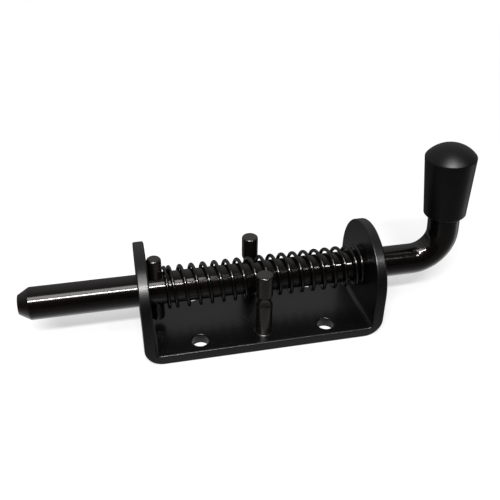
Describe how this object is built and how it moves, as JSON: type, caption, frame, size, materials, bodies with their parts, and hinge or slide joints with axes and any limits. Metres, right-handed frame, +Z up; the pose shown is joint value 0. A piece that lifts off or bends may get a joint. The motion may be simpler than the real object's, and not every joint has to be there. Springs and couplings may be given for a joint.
{
  "type": "spring loaded gate latch",
  "caption": "Slide bolt in a folded bracket, pushed out by a coil spring; its bent handle pulls it back and turns it a quarter so a cross pin holds it open behind posts.",
  "frame": {"origin": "middle of the bracket's underside, between its screw holes", "axes": "+X along the rod from the nose to the handle, +Z up from the base"},
  "size_m": [0.1691, 0.0398, 0.0685],
  "materials": {
    "bracket_paint": "satin black",
    "post_paint": "satin black",
    "rod_enamel": "gloss black",
    "spring_steel": "gloss black",
    "knob_plastic": "matte black"
  },
  "bodies": {
    "bracket": {"u_bracket": "bracket_paint", "front_post": "post_paint", "rear_post": "post_paint"},
    "spring": {"compression_spring": "spring_steel"},
    "bolt": {"bolt_rod": "rod_enamel", "cross_pin": "post_paint", "handle_knob": "knob_plastic"}
  },
  "joints": [
    {"name": "bolt_turn", "type": "hinge", "parent": "bracket", "child": "spring", "pos_m": [0, 0, 0.02], "axis": [1, 0, 0], "range_deg": [-90, 90]},
    {"name": "bolt_retract", "type": "slide", "parent": "spring", "child": "bolt", "axis": [1, 0, 0], "range_m": [0, 0.045], "stiffness_N_per_m": 680, "springref_m": -0.01, "deforming": ["compression_spring"]}
  ]
}
